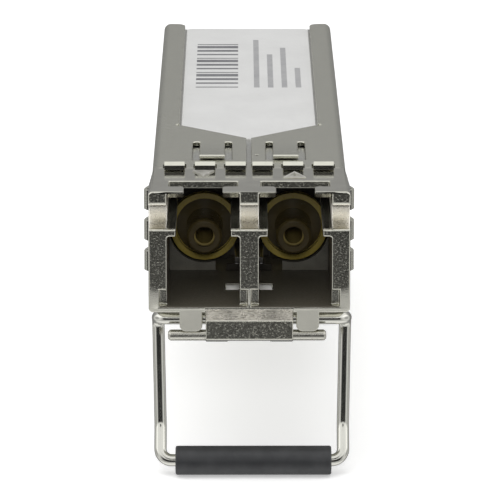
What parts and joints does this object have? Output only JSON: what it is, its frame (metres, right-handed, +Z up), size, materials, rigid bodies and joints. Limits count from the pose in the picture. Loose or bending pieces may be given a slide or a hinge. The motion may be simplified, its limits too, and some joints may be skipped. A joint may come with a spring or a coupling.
{
  "type": "pluggable optical transceiver",
  "caption": "Slim plated optical transceiver for a network cage, with fibre ports in its nose, arched grounding fingers, a rear edge connector and a swinging wire bail that works the latch.",
  "frame": {"origin": "on the underside's centre line, in the plane of the cage mouth, where the case begins", "axes": "+X across to the receive side, +Y along the module from the nose to the edge connector, +Z up"},
  "size_m": [0.0146, 0.057, 0.0207],
  "materials": {
    "nose_plating": "satin nickel plating on a die casting",
    "case_plating": "satin nickel-plated sheet",
    "lid_metal": "plain pressed plate",
    "label_film": "smooth white film",
    "holder_plastic": "moulded dark resin",
    "receptacle_resin": "amber moulded resin",
    "sleeve_ceramic": "polished white ceramic",
    "can_gold": "gold-plated header and cap",
    "lead_gold": "gold-plated wire",
    "board_laminate": "green solder mask",
    "contact_gold": "hard gold plating",
    "chip_resin": "black moulded package",
    "capacitor_ceramic": "tan ceramic",
    "resistor_film": "black film on ceramic",
    "inductor_ferrite": "grey ferrite",
    "lever_steel": "bright stamped steel",
    "pin_steel": "drawn steel",
    "spring_steel": "tempered strip",
    "bail_steel": "bright drawn wire",
    "grip_rubber": "smooth black tube"
  },
  "bodies": {
    "module": {"nose_base": "nose_plating", "case_wrap": "case_plating", "inner_lid": "lid_metal", "label": "label_film", "osa_holder": "holder_plastic", "tx_receptacle": "receptacle_resin", "rx_receptacle": "receptacle_resin", "tx_ferrule_sleeve": "sleeve_ceramic", "rx_ferrule_sleeve": "sleeve_ceramic", "tx_can": "can_gold", "rx_can": "can_gold", "tx_leads": "lead_gold", "rx_leads": "lead_gold", "circuit_board": "board_laminate", "edge_contacts": "contact_gold", "driver_chip": "chip_resin", "amplifier_chip": "chip_resin", "controller_chip": "chip_resin", "capacitors": "capacitor_ceramic", "resistors": "resistor_film", "inductors": "inductor_ferrite", "pivot_pin": "pin_steel", "latch_spring": "spring_steel", "stop_pin": "pin_steel"},
    "bail": {"bail_wire": "bail_steel", "grip_sleeve": "grip_rubber"},
    "lever": {"latch_lever": "lever_steel"}
  },
  "joints": [
    {"name": "bail_hinge", "type": "hinge", "parent": "module", "child": "bail", "pos_m": [0, -0.00545, -0.00075], "axis": [-1, 0, 0], "range_deg": [0, 158]},
    {"name": "lever_pivot", "type": "hinge", "parent": "module", "child": "lever", "pos_m": [0, -0.0013, 0], "axis": [-1, 0, 0], "range_deg": [0, 4.4], "deforming": ["latch_spring"]}
  ],
  "couplings": [
    {"joint": "lever_pivot", "follows": "bail_hinge", "ratio": 0.027754}
  ]
}
